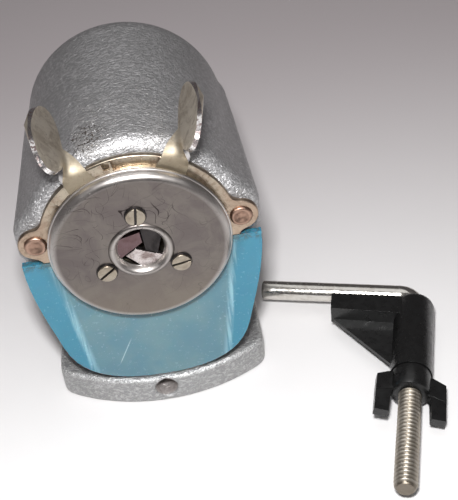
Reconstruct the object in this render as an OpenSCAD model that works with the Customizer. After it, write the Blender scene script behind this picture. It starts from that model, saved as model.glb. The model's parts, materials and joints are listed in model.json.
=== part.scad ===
// Hand-cranked desk pencil sharpener with a sprung chuck carriage, a planetary cutter,
// a shavings drawer and a separate table clamp.
// Millimetres. X runs to the right, Y to the back, Z up. The origin is the centre of the foot's
// underside. The pencil goes in from the front, along +Y.

/* [Body] */
// Height of the pencil axis above the table
axis_z = 57; // [56:0.5:58]
// Outer radius of the arched casting, about the pencil axis
arch_r = 27.5; // [27.5:0.1:28]
// Front face of the casting
body_front = -30.5; // [-30.6:0.1:-30.4]
// Back face of the casting
body_back = 38; // [36:0.5:42]
// Radius of the casting's back edge
back_round = 15; // [12:0.5:16]
// Wall of the casting
body_wall = 3.1; // [2.8:0.1:3.2]
// Half width across the shoulders at the front
shoulder_w = 31.1; // [31:0.1:31.5]
// Half width across the shoulders at the back
tail_w = 27.5; // [27.4:0.1:27.5]

/* [Foot] */
// Height of the cast foot
foot_h = 9; // [9:0.1:9]
// Half width of the foot
foot_w = 28.9; // [28.5:0.1:31]
// Radius of the foot's curved front
foot_front_r = 50; // [44:0.5:60]
// Front of the foot on the centre line
foot_front = -35.7; // [-36:0.1:-35]
// Back of the foot
foot_back = 35.3; // [34:0.1:37]
// Radius of the clamp hole in the foot
clamp_hole_r = 2.95; // [2.9:0.01:3.1]
// Depth of the clamp hole
clamp_hole_len = 24; // [18:0.5:26]

/* [Drawer] */
// Bottom of the drawer's front
drawer_low = 9.3; // [9.3:0.05:9.6]
// Top of the drawer's front
drawer_top = 52.8; // [52:0.1:52.9]
// Thickness of the drawer's front
drawer_front_t = 2; // [1.6:0.1:2.2]
// Wall of the drawer's box
drawer_wall = 1.6; // [1.2:0.1:2]
// Height of the box's top edge
drawer_box_top = 33; // [30:0.5:33.5]
// Back of the box
drawer_back = 24; // [18:0.5:25]

/* [Chuck carriage] */
// Radius of the front cover
cover_r = 23; // [22.6:0.1:23.2]
// Radius of the hole for the pencil
pencil_hole_r = 5.8; // [5:0.1:5.9]
// Radius of the screw circle, on which the jaws pivot
post_circle_r = 10.8; // [10.8:0.1:10.8]
// Distance of each guide rod from the centre line
rod_x = 25.8; // [25.6:0.1:25.9]
// Height of the guide rods above the pencil axis
rod_dz = 2.5; // [2:0.1:3]
// Radius of a guide rod
rod_r = 1.6; // [1.5:0.05:1.6]
// Angle that each ear turns when squeezed
ear_swing = 10; // [8:0.5:10]
// Angle that each jaw opens
jaw_swing = 20; // [18:0.5:20]
// Distance that the closed jaws' edges pass from the axis
jaw_gap = 0.9; // [0.7:0.1:1.4]

/* [Cutter] */
// Half angle of the sharpened cone, which is the tilt of the cutter's axle
cone_angle = 12; // [11.5:0.5:12]
// Radius of the helical cutter
cutter_r = 6.8; // [6.6:0.1:6.8]
// Teeth of the fixed ring gear
ring_teeth = 36; // [36:12:36]
// Teeth of the cutter's pinion
pinion_teeth = 12; // [12:12:12]
// Gear module
gear_module = 1.05; // [1.04:0.01:1.05]
// Helical blades on the cutter
cutter_blades = 9; // [7:1:12]

/* [Crank] */
// Throw of the crank
crank_throw = 40; // [34:1:42]
// Radius of the crank's shaft
shaft_r = 3; // [2.5:0.1:3.5]
// Radius of the crank's knob
knob_r = 8; // [7:0.5:9]

/* [Table clamp] */
// Radius of the smooth leg
clamp_rod_r = 2.82; // [2.7:0.01:2.85]
// Major radius of the threaded leg
thread_r = 3.1; // [3:0.05:3.15]
// Length of the smooth leg from the corner
smooth_len = 45.2; // [44:0.1:50]
// Length of the threaded leg from the corner
threaded_len = 70.7; // [68:0.1:76]
// Height of the clamp's axis as it lies on the table
clamp_z = 6.1; // [6.1:0.1:6.4]
// Turn of the whole clamp on the table
clamp_turn = -16.2; // [-25:0.1:-15]

/* [Hidden] */
$fn = 64;

// Gap between two pieces that slide past each other
gap = 0.3;
// Gap round a shaft in its bore
run = 0.06;

// Layers of the chuck, from the front to the back
cover_face = -37.6;
cover_t = 0.8;
jaw_front = -36.65;
jaw_back = -35.15;
cover_rim = -35;
left_ring = [-34.9, -34.1];
right_ring = [-34, -33.2];
plate = [-33.1, -31.6];

// Lower front edge of the casting, behind the drawer's front
lower_front = -29.8;
mouth_r = 22.8;
cavity_r = arch_r - body_wall;
boss_back = 0;
guide_len = 3.5;
spring_bore_r = 2.6;
foot_corner_r = 4.4;
foot_rear_r = 8;
pad_half = 12;
pad_y = [-22, 27];
base_screw_y = [-6, 21];
drawer_gap = 0.8;
shoulder_rise = 11.4;
tail_squeeze = 0.92;

// Ears: the middle of each pad, and its half lengths outwards and along Y
ear_angle_left = 119.5;
ear_angle_right = 63;
ear_mid_r = 36;
ear_mid_y = -30.2;
ear_half_r = 5.7;
ear_half_y = 12.3;
ear_t = 1;
ring_in_r = 13.05;
ring_out_r = 22.4;

// Jaws: place of the drive pin from the pivot, when the first jaw's pivot is at the top
pin_dx = 6.5;
pin_dz = 4;
pin_r = 0.8;
slot_clear = 0.35;
post_r = 1.9;
hub_r = 12.95;

// Gears
ring_pitch_r = ring_teeth * gear_module / 2;
pinion_pitch_r = pinion_teeth * gear_module / 2;
gear_y = -23.5;
gear_half = 1.5;
ring_y = [-26, -21];
ring_wall_r = 22.2;
axle_dist = ring_pitch_r - pinion_pitch_r * cos(cone_angle);
apex_y = gear_y + (axle_dist - cutter_r / cos(cone_angle)) / tan(cone_angle);
cutter_back = apex_y + 2;
cage_front = [-29.3, -27];
cage_rear = [apex_y + 6, apex_y + 10];
gear_lug_angles = [45, 90, 135];
gear_lug_r = 24;

arm_y = [42, 45];
knob_z = axis_z - crank_throw;

// Clamp: corner of the bent rod, and lengths along its threaded leg
clamp_corner = [75.25, -15.3];
bend_r = 4.5;
sleeve_r = 5.7;
sleeve = [4.3, 32.2];
nut = [32.5, 39.5];
nut_r = 5.4;
// Roll of the wing nut about its thread, as it lies
nut_roll = -11.5;
wing_tip = 47.3;
// Pad of the jaw: start and end along the smooth leg, and front and back along the thread
jaw_pad = [3.4, 23.9];
jaw_pad_depth = [4.6, 11.2];
jaw_pad_top = 4.3;
jaw_web = [-1.2, 0];

function polar(r, a) = [r * cos(a), r * sin(a)];
function arc(c, r, a0, a1, n) = [for (i = [0 : n]) c + polar(r, a0 + (a1 - a0) * i / n)];
function bezier(p, t) = pow(1 - t, 3) * p[0] + 3 * t * pow(1 - t, 2) * p[1]
    + 3 * t * t * (1 - t) * p[2] + pow(t, 3) * p[3];
function flipped(p) = [for (i = [len(p) - 1 : -1 : 0]) [-p[i].x, p[i].y]];
function unit(v) = v / norm(v);
function inwards(p, i) = let (a = p[max(i - 1, 0)], b = p[min(i + 1, len(p) - 1)], d = unit(b - a)) [-d.y, d.x];
function inset(p, d) = concat([p[0] + [0, d]], [for (i = [1 : len(p) - 1]) p[i] + d * inwards(p, i)]);

// Right half of the drawer front's outline, from its lowest point to its top corner
belly = [[0, drawer_low], [14, drawer_low], [22.5, drawer_low + 4.2], [25.2, drawer_low + 14.7]];
flank = [[25.2, drawer_low + 14.7], [26.9, 30.8], [30.6, 42], [30.6, drawer_top]];
belly_half = [for (i = [0 : 9]) bezier(belly, i / 10)];
flank_half = [for (i = [0 : 8]) bezier(flank, i / 8)];
drawer_half = concat(belly_half, flank_half);
function both(p) = concat(p, flipped(p));

// Carries a flat shape drawn in X and Z from y0 to y1
module along_y(y0, y1) {
    translate([0, y1, 0])
        rotate([90, 0, 0])
            linear_extrude(y1 - y0)
                children();
}

// A rod along Y
module rod_y(r, y0, y1) {
    translate([0, y0, 0])
        rotate([-90, 0, 0])
            cylinder(r = r, h = y1 - y0);
}

// A turned piece about an axis along Y, from points of radius and y
module turned_y(points) {
    rotate([-90, 0, 0])
        rotate_extrude($fn = 128)
            polygon(points);
}

module on_axis() {
    translate([0, 0, axis_z])
        children();
}

// The three places on the screw circle
module at_posts() {
    for (k = [0 : 2])
        rotate([0, -120 * k, 0])
            translate([0, 0, post_circle_r])
                children();
}

// ---------------------------------------------------------------- body

// Section of the lower casting and its shoulders: d is its inset from the drawer's outline,
// w the half width across the shoulders, and rise the height of the shoulders above the axis
function casting_section(d, w, rise) = concat(
    inset(drawer_half, d),
    [[w, drawer_top + 0.8], [w, axis_z + 0.42 * rise]],
    [[w - 1, axis_z + 0.63 * rise], [w - 7.2, axis_z + rise]]);

module casting_slab(d, w, rise, squeeze, y) {
    along_y(y, y + 0.1)
        scale([squeeze, 1])
            polygon(both(casting_section(d, w / squeeze, rise)));
}

// The shoulders fade into the arch towards the back
module lower_casting(d, w_front, w_back, y0, y1) {
    hull() {
        casting_slab(d, w_front, shoulder_rise, 1, y0);
        casting_slab(d, w_back, 1, tail_squeeze, y1 - 0.1);
    }
}

// Plan of the casting with its round back corners
module casting_plan(d) {
    r = back_round - d;
    w = shoulder_w + 2;
    x = tail_w - d;
    points = concat(
        [[w, body_front], [x, body_back - back_round]],
        arc([x - r, body_back - back_round], r, 0, 90, 12));
    translate([0, 0, drawer_low])
        linear_extrude(axis_z + 20 - drawer_low)
            polygon(both(points));
}

module casting_outside() {
    on_axis()
        turned_y(concat(
            [[0, body_front]],
            arc([arch_r - 4, body_front + 4], 4, -90, 0, 6),
            arc([arch_r - back_round, body_back - back_round], back_round, 0, 90, 12),
            [[0, body_back]]));
    intersection() {
        lower_casting(drawer_gap, shoulder_w, tail_w, body_front, body_back);
        casting_plan(0);
    }
}

module casting_inside() {
    on_axis()
        turned_y(concat(
            [[0, body_front - 1], [mouth_r, body_front - 1], [mouth_r, body_front + guide_len]],
            [[cavity_r, body_front + guide_len], [cavity_r, body_back - back_round]],
            arc([cavity_r - 9, body_back - back_round], 9, 0, 90, 8),
            [[0, body_back - back_round + 9]]));
    intersection() {
        lower_casting(drawer_gap + body_wall - 0.5, shoulder_w - body_wall, tail_w - body_wall,
            body_front - 1, body_back);
        casting_plan(body_wall);
        translate([-40, body_front - 2, 0])
            cube([80, body_back - body_front - 2.5, axis_z - 8]);
    }
}

module rod_places() {
    for (side = [-1, 1])
        translate([side * rod_x, 0, axis_z + rod_dz])
            children();
}

module gear_lug_places(r) {
    for (a = gear_lug_angles)
        on_axis()
            rotate([0, 90 - a, 0])
                translate([0, 0, r])
                    children();
}

module body_casting() {
    color([0.56, 0.57, 0.58])
        difference() {
            union() {
                difference() {
                    casting_outside();
                    casting_inside();
                }
                // Bosses that carry the guide rods
                intersection() {
                    rod_places()
                        rod_y(3.3, body_front + 0.5, boss_back);
                    casting_outside();
                }
                // Pads behind the ring gear's lugs
                gear_lug_places(22.9)
                    translate([-3.5, ring_y[1], -1.9])
                        cube([7, 8, 3.8]);
                // Pad that stands on the foot
                translate([-pad_half, pad_y[0], foot_h])
                    cube([2 * pad_half, pad_y[1] - pad_y[0], drawer_low + drawer_gap + 2 - foot_h]);
                // Back wall round the bush
                on_axis()
                    rod_y(10, 33, body_back - 0.5);
            }
            // Lower front, set back behind the drawer's front
            translate([-40, body_front - 1, 0])
                cube([80, lower_front - body_front + 1, drawer_top + 0.6]);
            rod_places()
                rod_y(rod_r + run, body_front - 1, boss_back + 1);
            rod_places()
                rod_y(spring_bore_r, body_front + guide_len, boss_back + 1);
            gear_lug_places(23.1)
                rod_y(0.8, ring_y[1] - 1, ring_y[1] + 6);
            on_axis()
                rod_y(6, 20, body_back + 1);
            for (y = base_screw_y)
                translate([0, y, 0])
                    cylinder(r = 1.5, h = foot_h + 2.8);
        }
}

// ---------------------------------------------------------------- foot

module foot_plan() {
    big = [0, foot_front + foot_front_r];
    cx = foot_w - foot_corner_r;
    cy = big.y - sqrt(pow(foot_front_r - foot_corner_r, 2) - cx * cx);
    a = atan2(cy - big.y, cx);
    polygon(both(concat(
        arc(big, foot_front_r, -90, a, 14),
        arc([cx, cy], foot_corner_r, a, 0, 8),
        arc([foot_w - foot_rear_r, foot_back - foot_rear_r], foot_rear_r, 0, 90, 10))));
}

module base_foot() {
    color([0.62, 0.62, 0.63])
        difference() {
            linear_extrude(foot_h)
                foot_plan();
            translate([0, 0, 4.9])
                rod_y(clamp_hole_r, foot_front - 2, foot_front + clamp_hole_len);
            for (y = base_screw_y)
                translate([0, y, -1]) {
                    cylinder(r = 1.7, h = foot_h + 2);
                    cylinder(r = 3.4, h = 3.5);
                }
        }
}

module base_screws() {
    color([0.45, 0.45, 0.47])
        for (y = base_screw_y)
            translate([0, y, 0])
                difference() {
                    union() {
                        translate([0, 0, 0.6])
                            cylinder(r = 3, h = 1.9);
                        translate([0, 0, 2.4])
                            cylinder(r = 1.5, h = foot_h - 0.4);
                    }
                    translate([-4, -0.4, 0])
                        cube([8, 0.8, 1.4]);
                }
}

// ---------------------------------------------------------------- gears and cutter

// Internal teeth: the gap between two teeth lies straight down
module ring_gear_shape() {
    pitch = 360 / ring_teeth;
    root = ring_pitch_r + 1.5;
    tip = ring_pitch_r - 0.85;
    difference() {
        union() {
            circle(r = ring_wall_r);
            for (a = gear_lug_angles)
                rotate(a)
                    translate([20, -3.5])
                        square([gear_lug_r - 20, 7]);
        }
        polygon([for (i = [0 : ring_teeth - 1])
            for (s = [[-0.33, root], [0.33, root], [0.42, tip], [0.58, tip]])
                polar(s[1], -90 + (i + s[0]) * pitch)]);
        for (a = gear_lug_angles)
            translate(polar(23.1, a))
                circle(r = 0.8, $fn = 24);
    }
}

module ring_gear() {
    color([0.62, 0.6, 0.55])
        on_axis()
            along_y(ring_y[0], ring_y[1])
                ring_gear_shape();
}

module ring_gear_screws() {
    color([0.6, 0.58, 0.52])
        gear_lug_places(23.1) {
            rod_y(0.8, ring_y[0] - 0.1, ring_y[1] + 5);
            difference() {
                rod_y(1.15, ring_y[0] - 1, ring_y[0]);
                translate([-2, ring_y[0] - 1.1, -0.2])
                    cube([4, 0.6, 0.4]);
            }
        }
}

// Brings a piece that is turned about Z onto the tilted cutter axle, its zero at the gear
module on_axle() {
    translate([0, gear_y, axis_z - axle_dist])
        rotate([-90 + cone_angle, 0, 0])
            children();
}

module cutter_pinion() {
    pitch = 360 / pinion_teeth;
    root = pinion_pitch_r - 1.15;
    tip = pinion_pitch_r + 0.85;
    color([0.55, 0.52, 0.45])
        on_axle()
            difference() {
                translate([0, 0, -gear_half])
                    linear_extrude(2 * gear_half)
                        polygon([for (i = [0 : pinion_teeth - 1])
                            for (s = [[-0.25, root], [-0.085, tip], [0.085, tip], [0.25, root]])
                                polar(s[1], 90 + (i + s[0]) * pitch)]);
                translate([0, 0, -gear_half - 1])
                    cylinder(r = 1.5 + run, h = 2 * gear_half + 2);
            }
}

module helical_cutter() {
    length = (cutter_back - gear_y) / cos(cone_angle) - gear_half - 1;
    pitch = 360 / cutter_blades;
    color([0.5, 0.5, 0.52])
        on_axle()
            difference() {
                union() {
                    translate([0, 0, gear_half + 1])
                        linear_extrude(length, twist = -75, slices = 14)
                            polygon([for (i = [0 : cutter_blades - 1])
                                for (s = [[0, 0], [0.12, 0.1], [0.3, 1.3], [0.85, 1.3]])
                                    polar(cutter_r - s[1], (i + s[0]) * pitch)]);
                    translate([0, 0, gear_half])
                        cylinder(r = 3.6, h = 2);
                }
                cylinder(r = 1.5 + run, h = length + 5);
            }
}

module cutter_axle() {
    front = (cage_front[0] + 0.3 - gear_y) / cos(cone_angle);
    back = (cage_rear[1] - 0.5 - gear_y) / cos(cone_angle);
    color([0.6, 0.6, 0.62])
        on_axle()
            translate([0, 0, front])
                cylinder(r = 1.5, h = back - front);
}

module cutter_cage() {
    color([0.58, 0.56, 0.5])
        difference() {
            union() {
                on_axis() {
                    rod_y(16.7, cage_front[0], cage_front[1]);
                    rod_y(13.5, cage_rear[0], cage_rear[1]);
                    rod_y(5.5, cage_rear[1], cage_rear[1] + 4);
                    for (a = [20, 90, 160])
                        rotate([0, 90 - a, 0])
                            translate([-2.5, cage_front[1] - 0.1, 10.5])
                                cube([5, cage_rear[0] - cage_front[1] + 0.2, 2.8]);
                    for (a = [20, 90, 160])
                        rotate([0, 90 - a, 0])
                            translate([-2.5, cage_front[0], 10.5])
                                cube([5, cage_front[1] - cage_front[0], 5.5]);
                }
            }
            on_axis()
                rod_y(6.5, cage_front[0] - 1, cage_front[1] + 1);
            on_axle()
                translate([0, 0, -12])
                    cylinder(r = 1.5, h = 60);
            on_axis()
                rod_y(shaft_r, cage_rear[0] + 1, cage_rear[1] + 10);
        }
}

// ---------------------------------------------------------------- crank

module rear_bush() {
    color([0.66, 0.55, 0.33])
        on_axis()
            difference() {
                union() {
                    rod_y(6, 32, body_back + 0.1);
                    rod_y(8.5, body_back, body_back + 1.5);
                }
                rod_y(shaft_r + run, 20, body_back + 5);
            }
}

module crank_shaft() {
    color([0.6, 0.6, 0.6])
        on_axis()
            rod_y(shaft_r, cage_rear[0] + 1, arm_y[1] + 2.2);
}

module crank_arm() {
    color([0.7, 0.7, 0.7])
        difference() {
            union() {
                along_y(arm_y[0], arm_y[1]) {
                    translate([0, axis_z])
                        circle(r = 7);
                    translate([0, knob_z])
                        circle(r = 5.2);
                    polygon([[-6.6, axis_z - 2], [6.6, axis_z - 2], [5, knob_z + 1], [-5, knob_z + 1]]);
                }
                on_axis()
                    rod_y(5.4, arm_y[0] - 2, arm_y[0] + 0.1);
            }
            on_axis()
                rod_y(shaft_r, 20, 60);
            translate([0, 0, knob_z])
                rod_y(2, 20, 60);
        }
}

module crank_nut() {
    color([0.66, 0.66, 0.66])
        on_axis()
            difference() {
                along_y(arm_y[1], arm_y[1] + 3)
                    circle(r = 5, $fn = 6);
                rod_y(shaft_r, 20, 60);
            }
}

module knob_pin() {
    color([0.66, 0.66, 0.66])
        translate([0, 0, knob_z]) {
            rod_y(2, arm_y[0] - 0.6, 68.4);
            rod_y(3.2, 68, 69.4);
            rod_y(3.2, arm_y[0] - 1.4, arm_y[0]);
        }
}

module crank_knob() {
    front = arm_y[1] + 0.4;
    color([0.09, 0.09, 0.09])
        translate([0, 0, knob_z])
            difference() {
                turned_y(concat(
                    [[0, front], [4.4, front], [5, front + 3]],
                    [for (t = [0.1 : 0.1 : 1]) [5 + (knob_r - 5) * sin(90 * t), front + 3 + 12 * t]],
                    [for (a = [15 : 15 : 75]) [knob_r - 4 + 4 * cos(a), front + 19 + 4 * sin(a)]],
                    [[knob_r - 4, front + 23.3], [0, front + 23.3]]));
                rod_y(2 + run, front - 1, 80);
                rod_y(3.6, 67.7, 80);
            }
}

// ---------------------------------------------------------------- drawer

module drawer_section(d) {
    polygon(both(inset(drawer_half, d)));
}

// Slab of the drawer's box, which narrows towards the back as the casting does
module box_slab(d, top, y) {
    squeeze = 1 - (1 - tail_squeeze) * (y - body_front) / (body_back - body_front);
    along_y(y, y + 0.1)
        scale([squeeze, 1])
            intersection() {
                drawer_section(d);
                translate([-40, 0])
                    square([80, top]);
            }
}

module box_block(d, top, y0, y1) {
    hull() {
        box_slab(d, top, y0);
        box_slab(d, top, y1 - 0.1);
    }
}

module shavings_drawer() {
    rake = atan(1.8 / (drawer_top - drawer_low));
    outer = drawer_gap + body_wall;
    color([0.36, 0.62, 0.72])
        union() {
            // Front, leaning back a little, open round the chuck
            difference() {
                translate([0, -34.1, drawer_low])
                    rotate([-rake, 0, 0])
                        translate([0, 0, -drawer_low])
                            along_y(0, drawer_front_t)
                                drawer_section(0);
                on_axis()
                    rod_y(cover_r + gap, -40, -20);
            }
            // Box
            difference() {
                box_block(outer, drawer_box_top, -32.6, drawer_back);
                box_block(outer + drawer_wall, drawer_box_top + 1, -31.4, drawer_back - drawer_wall);
            }
        }
}

module drawer_clip() {
    color([0.7, 0.68, 0.6])
        translate([4, 0, 0])
            rotate([0, -90, 0])
                linear_extrude(8)
                    polygon([[13.4, 33.4], [22, 33.4], [22, 32.9], [16, 32.9], [15.5, 26.5],
                        [17.5, 24.5], [17.1, 24.2], [14.8, 26.3], [15.2, 32.9], [13.4, 32.9]]);
}

module drawer_clip_rivets() {
    color([0.6, 0.6, 0.6])
        for (x = [-2, 2])
            translate([x, 0, 19.5]) {
                rod_y(1.4, 32, 32.9);
            }
}

// ---------------------------------------------------------------- carriage

module lug_shape() {
    for (side = [-1, 1]) {
        translate([side * rod_x, rod_dz])
            circle(r = 4.4);
        translate([side * rod_x / 2, rod_dz])
            square([rod_x, 8.8], center = true);
    }
}

module carriage_plate() {
    color([0.66, 0.6, 0.5])
        on_axis()
            difference() {
                along_y(plate[0], plate[1]) {
                    circle(r = 21);
                    intersection() {
                        circle(r = 25.1);
                        translate([-30, -3.4])
                            square([60, 60]);
                    }
                    lug_shape();
                }
                rod_y(7.5, -40, -20);
                for (side = [-1, 1])
                    translate([side * rod_x, 0, rod_dz])
                        rod_y(rod_r, -40, -20);
            }
}

module chuck_hub() {
    color([0.6, 0.57, 0.5])
        on_axis()
            difference() {
                union() {
                    rod_y(hub_r, cover_rim, plate[0]);
                    at_posts()
                        rod_y(post_r, cover_face + cover_t, plate[0]);
                }
                rod_y(7.5, -40, -20);
                at_posts()
                    rod_y(0.9, -40, -20);
            }
}

module guide_rod(side) {
    color([0.63, 0.42, 0.32])
        translate([side * rod_x, 0, axis_z + rod_dz])
            difference() {
                union() {
                    rod_y(rod_r, plate[0], -2);
                    turned_y([[0, plate[0]], [2.7, plate[0]], [2.6, plate[0] - 0.5],
                        [1.9, plate[0] - 1], [0, plate[0] - 1]]);
                }
                turned_y([[0, plate[0] - 0.3], [1.2, plate[0] - 0.6],
                    [1.5, plate[0] - 1.1], [0, plate[0] - 1.1]]);
            }
}

module guide_rod_left() {
    guide_rod(-1);
}

module guide_rod_right() {
    guide_rod(1);
}

module rod_clips() {
    color([0.3, 0.3, 0.3])
        rod_places()
            difference() {
                rod_y(2.4, -3.4, -2.6);
                rod_y(rod_r, -5, 0);
            }
}

module return_spring(side) {
    color([0.6, 0.6, 0.6])
        translate([side * rod_x, 0, axis_z + rod_dz])
            difference() {
                rod_y(2.4, body_front + guide_len, -3.4);
                rod_y(1.8, -40, 0);
            }
}

module return_spring_left() {
    return_spring(-1);
}

module return_spring_right() {
    return_spring(1);
}

module front_cover() {
    color([0.55, 0.52, 0.49])
        on_axis()
            difference() {
                turned_y(concat(
                    [[cover_r, cover_rim]],
                    arc([cover_r - 2.6, cover_rim], 2.6, -15, -90, 5),
                    [[7.4, cover_face], [6.8, cover_face - 0.15], [6.2, cover_face]],
                    [[pencil_hole_r, cover_face + 0.5], [pencil_hole_r, cover_face + cover_t]],
                    [[cover_r - 2.6, cover_face + cover_t]],
                    arc([cover_r - 2.6, cover_rim], 1.8, -75, -15, 4),
                    [[cover_r - 0.8, cover_rim]]));
                at_posts()
                    rod_y(0.9, -40, -20);
            }
}

module cover_screws() {
    slots = [90, 50, 0];
    color([0.66, 0.63, 0.55])
        on_axis()
            for (k = [0 : 2])
                rotate([0, -120 * k, 0])
                    translate([0, 0, post_circle_r])
                        difference() {
                            union() {
                                rod_y(0.9, cover_face - 0.1, -33.4);
                                turned_y([[0, cover_face], [2.6, cover_face], [2.6, cover_face - 0.5],
                                    [2.2, cover_face - 0.9], [0, cover_face - 0.9]]);
                            }
                            rotate([0, 120 * k - slots[k], 0])
                                translate([-4, cover_face - 1.2, -0.35])
                                    cube([8, 0.8, 0.7]);
                        }
}

// Place of a jaw's drive pin, seen from the pencil axis, when the jaw has opened by the angle
function pin_place(open) = [
    pin_dx * cos(open) - pin_dz * sin(open),
    post_circle_r + pin_dx * sin(open) + pin_dz * cos(open)];

// Slots for the drive pins in a ring that turns by the angle turn as the jaws open
module cam_slots(turn) {
    for (k = [0 : 2])
        rotate(120 * k)
            for (t = [0 : 0.125 : 1])
                rotate(-turn * t)
                    translate(pin_place(jaw_swing * t))
                        circle(r = pin_r + slot_clear, $fn = 24);
}

module ear(angle, y0, y1) {
    along_y(y0, y1)
        polygon([for (p = [[20, -12], [26, -9], [34, -4.5], [34, 4.5], [26, 9], [20, 12]])
            polar(p[0], angle + p[1])]);
    rotate([0, 90 - angle, 0])
        translate([-ear_t / 2, ear_mid_y, ear_mid_r])
            rotate([90, 0, 90])
                linear_extrude(ear_t)
                    polygon([for (a = [0 : 9 : 351]) [ear_half_y * cos(a), ear_half_r * sin(a)]]);
}

module ear_ring_left() {
    color([0.68, 0.66, 0.56])
        on_axis() {
            along_y(left_ring[0], left_ring[1])
                difference() {
                    union() {
                        circle(r = ring_out_r);
                        // Wide arc that shows above the cover, from the ear to its hook
                        polygon(concat([[0, 0]], arc([0, 0], 25.6, 97, 138, 12)));
                    }
                    circle(r = ring_in_r);
                    cam_slots(-ear_swing);
                }
            ear(ear_angle_left, left_ring[0], left_ring[1]);
        }
}

module ear_ring_right() {
    color([0.68, 0.66, 0.56])
        on_axis() {
            along_y(right_ring[0], right_ring[1])
                difference() {
                    circle(r = ring_out_r);
                    circle(r = ring_in_r);
                    cam_slots(ear_swing);
                }
            ear(ear_angle_right, right_ring[0], right_ring[1]);
        }
}

module ear_spring() {
    color([0.5, 0.48, 0.45])
        on_axis()
            turned_y([[16.8, plate[1]], [17.6, plate[1]],
                [17.6, plate[1] + 0.8], [16.8, plate[1] + 0.8]]);
}

module jaw_shape() {
    tilt = asin(jaw_gap / post_circle_r);
    post = [0, post_circle_r];
    edge = [sin(tilt), -cos(tilt)];
    tip = post + edge * (post_circle_r * cos(tilt) + 1.73 * jaw_gap - 0.35);
    side = polar(1, -30 + tilt);
    polygon([post, tip, tip + side * 3.2, [5.4, 2.6], post + [2.6, -0.8]]);
    translate(post)
        circle(r = 3.5);
    // Tail that carries the drive pin
    translate(post)
        rotate(atan2(pin_dz, pin_dx))
            translate([0, -1.5])
                square([norm([pin_dx, pin_dz]), 3]);
    translate(post + [pin_dx, pin_dz])
        circle(r = 1.7);
}

module jaw(k) {
    color([0.62, 0.58, 0.56])
        on_axis()
            rotate([0, -120 * k, 0])
                difference() {
                    union() {
                        along_y(jaw_front, jaw_back)
                            jaw_shape();
                        translate([pin_dx, 0, post_circle_r + pin_dz])
                            rod_y(pin_r, jaw_back - 0.1, plate[0] - 0.15);
                    }
                    translate([0, 0, post_circle_r])
                        rod_y(post_r + run, -40, -30);
                }
}

module jaw_1() {
    jaw(0);
}

module jaw_2() {
    jaw(1);
}

module jaw_3() {
    jaw(2);
}

// ---------------------------------------------------------------- table clamp

// Clamp frame: X from the corner along the smooth leg, Y along the threaded leg
module in_clamp() {
    translate([clamp_corner.x, clamp_corner.y, clamp_z])
        rotate([0, 0, clamp_turn])
            mirror([0, 1, 0])
                mirror([1, 0, 0])
                    children();
}

module clamp_rod() {
    color([0.7, 0.7, 0.68])
        in_clamp() {
            translate([bend_r, 0, 0])
                rotate([0, 90, 0])
                    cylinder(r = clamp_rod_r, h = smooth_len - bend_r);
            translate([bend_r, bend_r, 0])
                rotate([0, 0, 180])
                    rotate_extrude(angle = 90)
                        translate([bend_r, 0])
                            circle(r = clamp_rod_r);
            translate([0, bend_r, 0])
                rod_y(clamp_rod_r, 0, 4);
            // Thread, drawn as a plain shank at its major diameter with a chamfered end
            turned_y([[0, bend_r + 3], [thread_r - 0.3, bend_r + 3], [thread_r, bend_r + 3.3],
                [thread_r, threaded_len - 1], [thread_r - 0.8, threaded_len], [0, threaded_len]]);
        }
}

// Outline of the pad, with teeth along the side that grips
module pad_shape() {
    teeth = 12;
    pitch = (jaw_pad[1] - 5.5) / teeth;
    polygon(concat(
        [[jaw_pad[0], jaw_pad_depth[1] + 0.8], [jaw_pad[0], jaw_pad_depth[0] + 0.6]],
        [[5.5, jaw_pad_depth[0] + 0.6]],
        [for (i = [0 : teeth - 1]) for (s = [[0.5, 0], [1, 0.6]])
            [5.5 + (i + s[0]) * pitch, jaw_pad_depth[0] + s[1]]],
        [[jaw_pad[1] - 0.3, jaw_pad_depth[1]]]));
}

module clamp_jaw() {
    color([0.06, 0.06, 0.06])
        in_clamp()
            difference() {
                union() {
                    turned_y([[0, sleeve[0]], [sleeve_r - 1.4, sleeve[0]], [sleeve_r - 0.4, sleeve[0] + 0.5],
                        [sleeve_r, sleeve[0] + 1.6], [sleeve_r, sleeve[1]], [0, sleeve[1]]]);
                    translate([0, 0, jaw_web[0]])
                        linear_extrude(jaw_pad_top - jaw_web[0])
                            pad_shape();
                    // Thin web below the pad
                    translate([0, 0, jaw_web[0]])
                        linear_extrude(jaw_web[1] - jaw_web[0])
                            polygon([[0, 10], [jaw_pad[1] - 0.4, 10.7], [5.9, 27.9], [4, 31.4], [0, 31.4]]);
                }
                rod_y(thread_r + run, -5, 40);
            }
}

// Flat wing on one side of the nut, a little thinner beyond the end of the boss
module wing(side) {
    translate([0, 0, -1.4])
        linear_extrude(2.8)
            polygon([[side * 3.8, nut[0] + 0.3], [side * 5.4, nut[0] + 0.3], [side * 9.4, nut[0] + 2.3],
                [side * 9.5, nut[1] + 1], [side * 3.8, nut[1] - 0.5]]);
    translate([0, 0, -1.25])
        linear_extrude(2.5)
            polygon([[side * 9.5, nut[1] - 1], [side * 9.5, wing_tip], [side * 5.7, wing_tip],
                [side * 5.4, nut[1] + 0.8], [side * 4, nut[1] - 1]]);
}

module wing_nut() {
    color([0.07, 0.07, 0.07])
        in_clamp()
            rotate([0, nut_roll, 0])
                difference() {
                    union() {
                        turned_y([[0, nut[0]], [nut_r, nut[0]], [nut_r, nut[1] - 1.3],
                            [nut_r - 0.4, nut[1] - 0.4], [nut_r - 1.3, nut[1]], [0, nut[1]]]);
                        wing(-1);
                        wing(1);
                    }
                    rod_y(thread_r + run, 20, 60);
                }
}

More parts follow.
